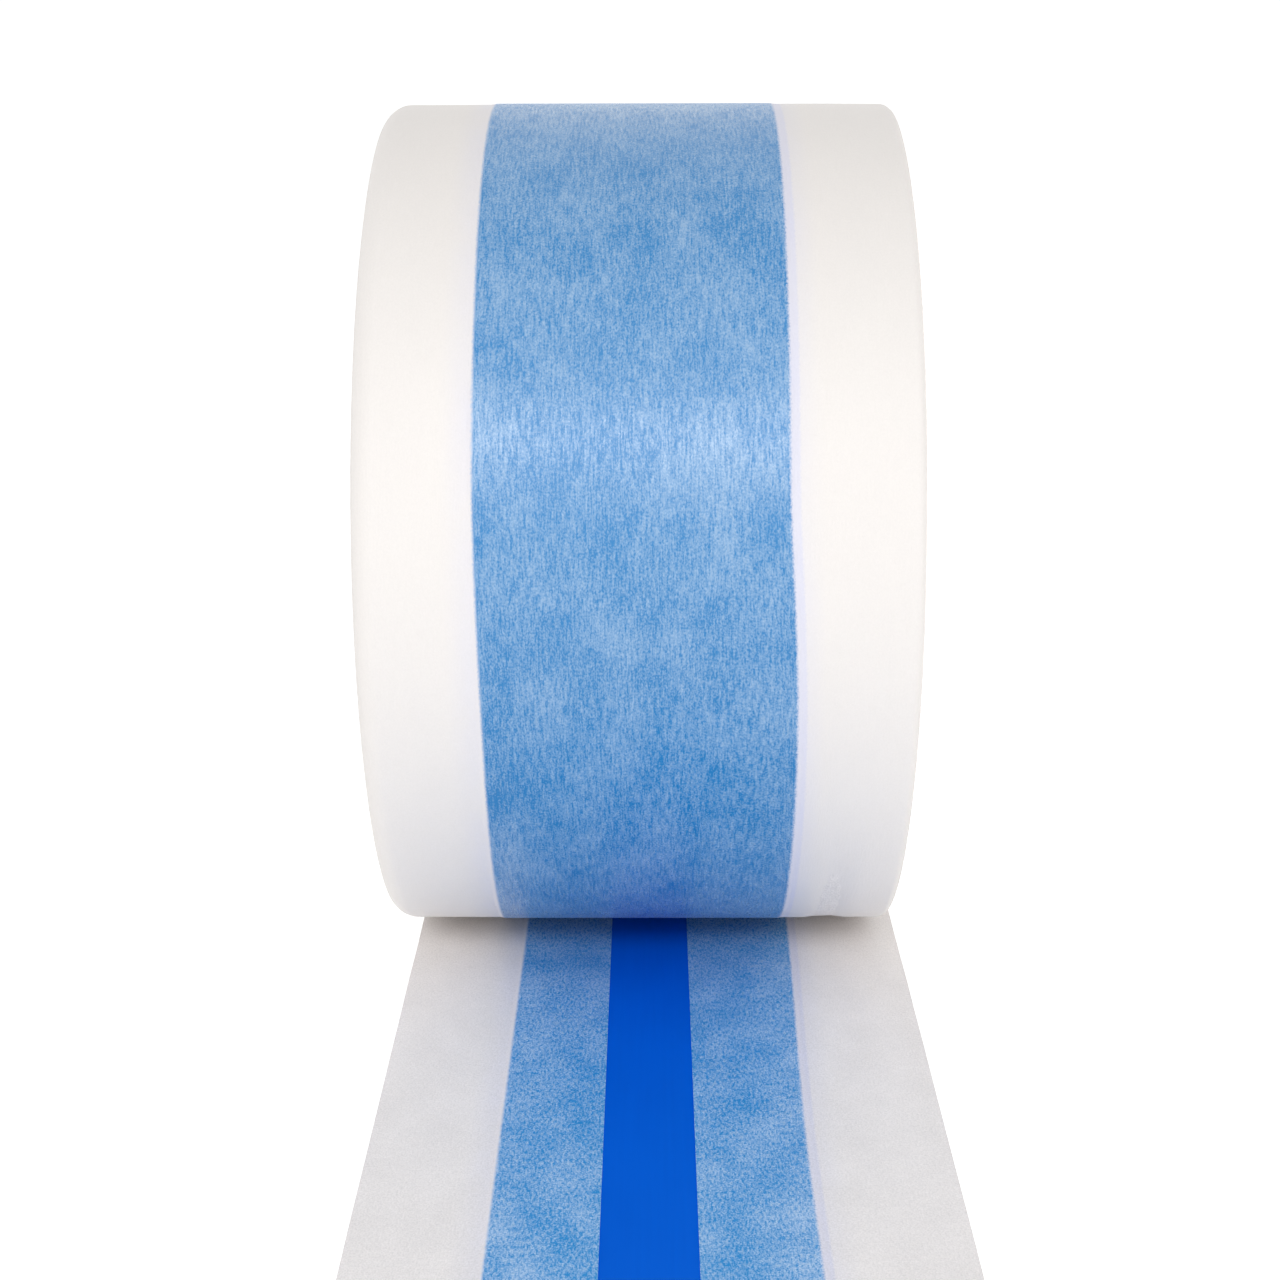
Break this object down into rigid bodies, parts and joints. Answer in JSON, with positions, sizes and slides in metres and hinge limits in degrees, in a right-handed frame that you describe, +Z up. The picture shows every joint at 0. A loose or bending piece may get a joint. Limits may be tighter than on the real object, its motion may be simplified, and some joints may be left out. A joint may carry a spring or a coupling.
{
  "type": "tape roll",
  "caption": "Roll of wide fleece-faced sealing tape wound on a board core, with its first length drawn off from underneath and lying flat.",
  "frame": {"origin": "middle of the core's bore, on the roll's axis, halfway along the tape's width", "axes": "+X along the roll's axis, -Y the way the tape is drawn off, +Z up from the surface that the strip lies on"},
  "size_m": [0.1245, 0.301, 0.2028],
  "materials": {
    "back_fleece": "matte",
    "front_fleece": "matte",
    "film": "satin",
    "wound_tape": "matte",
    "core_board": "matte",
    "core_face": "matte",
    "starter_tab": "matte"
  },
  "bodies": {
    "laid_strip": {"laid_strip_back_fleece": "back_fleece", "laid_strip_film": "film", "laid_strip_front_fleece_left": "front_fleece", "laid_strip_front_fleece_right": "front_fleece"},
    "roll": {"core_liner": "core_face", "core_board_1": "core_board", "core_board_2": "core_board", "core_board_3": "core_board", "core_cover": "core_face", "starter_tab": "starter_tab", "inner_turns": "wound_tape", "outer_turn_back_fleece": "back_fleece", "outer_turn_film": "film", "outer_turn_front_fleece_left": "front_fleece", "outer_turn_front_fleece_right": "front_fleece"},
    "lifting_strip_1": {"lifting_strip_1_back_fleece": "back_fleece", "lifting_strip_1_film": "film", "lifting_strip_1_front_fleece_left": "front_fleece", "lifting_strip_1_front_fleece_right": "front_fleece"},
    "lifting_strip_2": {"lifting_strip_2_back_fleece": "back_fleece", "lifting_strip_2_film": "film", "lifting_strip_2_front_fleece_left": "front_fleece", "lifting_strip_2_front_fleece_right": "front_fleece"},
    "lifting_strip_3": {"lifting_strip_3_back_fleece": "back_fleece", "lifting_strip_3_film": "film", "lifting_strip_3_front_fleece_left": "front_fleece", "lifting_strip_3_front_fleece_right": "front_fleece"},
    "lifting_strip_4": {"lifting_strip_4_back_fleece": "back_fleece", "lifting_strip_4_film": "film", "lifting_strip_4_front_fleece_left": "front_fleece", "lifting_strip_4_front_fleece_right": "front_fleece"},
    "lifting_strip_5": {"lifting_strip_5_back_fleece": "back_fleece", "lifting_strip_5_film": "film", "lifting_strip_5_front_fleece_left": "front_fleece", "lifting_strip_5_front_fleece_right": "front_fleece"},
    "lifting_strip_6": {"lifting_strip_6_back_fleece": "back_fleece", "lifting_strip_6_film": "film", "lifting_strip_6_front_fleece_left": "front_fleece", "lifting_strip_6_front_fleece_right": "front_fleece"},
    "lifting_strip_7": {"lifting_strip_7_back_fleece": "back_fleece", "lifting_strip_7_film": "film", "lifting_strip_7_front_fleece_left": "front_fleece", "lifting_strip_7_front_fleece_right": "front_fleece"},
    "lifting_strip_8": {"lifting_strip_8_back_fleece": "back_fleece", "lifting_strip_8_film": "film", "lifting_strip_8_front_fleece_left": "front_fleece", "lifting_strip_8_front_fleece_right": "front_fleece"}
  },
  "joints": [
    {"name": "roll_spin", "type": "hinge", "parent": "laid_strip", "child": "roll", "pos_m": [0, 0, 0], "axis": [-1, 0, 0], "continuous": true},
    {"name": "strip_lift_1", "type": "hinge", "parent": "laid_strip", "child": "lifting_strip_1", "pos_m": [0.0045, -0.06, -0.1013], "axis": [-1, 0, 0], "range_deg": [0, 11]},
    {"name": "strip_lift_2", "type": "hinge", "parent": "lifting_strip_1", "child": "lifting_strip_2", "pos_m": [0.0045, -0.0775, -0.1013], "axis": [-1, 0, 0], "range_deg": [0, 11]},
    {"name": "strip_lift_3", "type": "hinge", "parent": "lifting_strip_2", "child": "lifting_strip_3", "pos_m": [0.0045, -0.095, -0.1013], "axis": [-1, 0, 0], "range_deg": [0, 11]},
    {"name": "strip_lift_4", "type": "hinge", "parent": "lifting_strip_3", "child": "lifting_strip_4", "pos_m": [0.0045, -0.1125, -0.1013], "axis": [-1, 0, 0], "range_deg": [0, 11]},
    {"name": "strip_lift_5", "type": "hinge", "parent": "lifting_strip_4", "child": "lifting_strip_5", "pos_m": [0.0045, -0.13, -0.1013], "axis": [-1, 0, 0], "range_deg": [0, 11]},
    {"name": "strip_lift_6", "type": "hinge", "parent": "lifting_strip_5", "child": "lifting_strip_6", "pos_m": [0.0045, -0.1475, -0.1013], "axis": [-1, 0, 0], "range_deg": [0, 11]},
    {"name": "strip_lift_7", "type": "hinge", "parent": "lifting_strip_6", "child": "lifting_strip_7", "pos_m": [0.0045, -0.165, -0.1013], "axis": [-1, 0, 0], "range_deg": [0, 11]},
    {"name": "strip_lift_8", "type": "hinge", "parent": "lifting_strip_7", "child": "lifting_strip_8", "pos_m": [0.0045, -0.1825, -0.1013], "axis": [-1, 0, 0], "range_deg": [0, 11]}
  ],
  "couplings": [
    {"joint": "strip_lift_2", "follows": "strip_lift_1", "ratio": 1},
    {"joint": "strip_lift_3", "follows": "strip_lift_1", "ratio": 1},
    {"joint": "strip_lift_4", "follows": "strip_lift_1", "ratio": 1},
    {"joint": "strip_lift_5", "follows": "strip_lift_1", "ratio": 1},
    {"joint": "strip_lift_6", "follows": "strip_lift_1", "ratio": 1},
    {"joint": "strip_lift_7", "follows": "strip_lift_1", "ratio": 1},
    {"joint": "strip_lift_8", "follows": "strip_lift_1", "ratio": 1}
  ]
}
